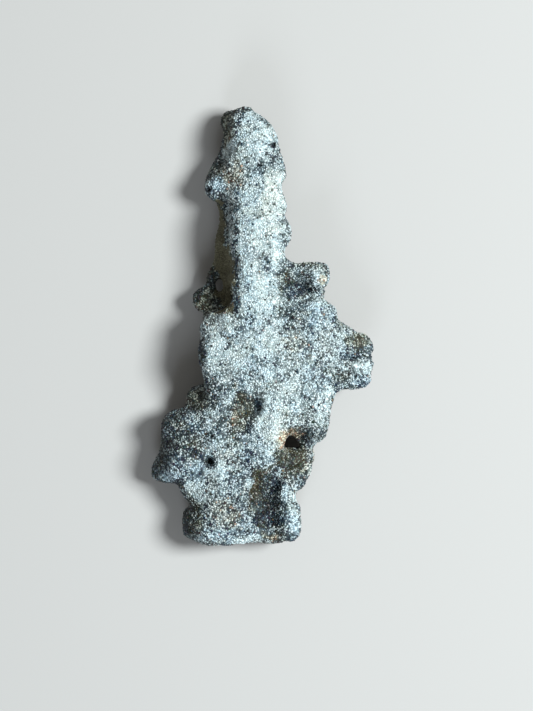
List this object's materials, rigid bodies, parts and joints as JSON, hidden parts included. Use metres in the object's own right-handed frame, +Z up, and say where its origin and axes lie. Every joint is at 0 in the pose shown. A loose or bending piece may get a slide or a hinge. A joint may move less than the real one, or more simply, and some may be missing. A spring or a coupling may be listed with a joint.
{
  "type": "fulgurite",
  "caption": "Natural sand fulgurite: a crooked, lumpy, branching stick of fused grey sand that lies on its back.",
  "frame": {"origin": "under the middle of the stone's box, on the surface that it lies on", "axes": "+Y along the stick to its narrow tip, +X to the side with the shoulder knob and the three-ridged lobe, +Z up out of its best side"},
  "size_m": [0.0304, 0.06, 0.0115],
  "materials": {
    "fused_sand": "rough, grainy: grey and white sand grains stuck on grey glass, tan dust in the hollows"
  },
  "bodies": {
    "root": {"fulgurite": "fused_sand"}
  },
  "joints": []
}
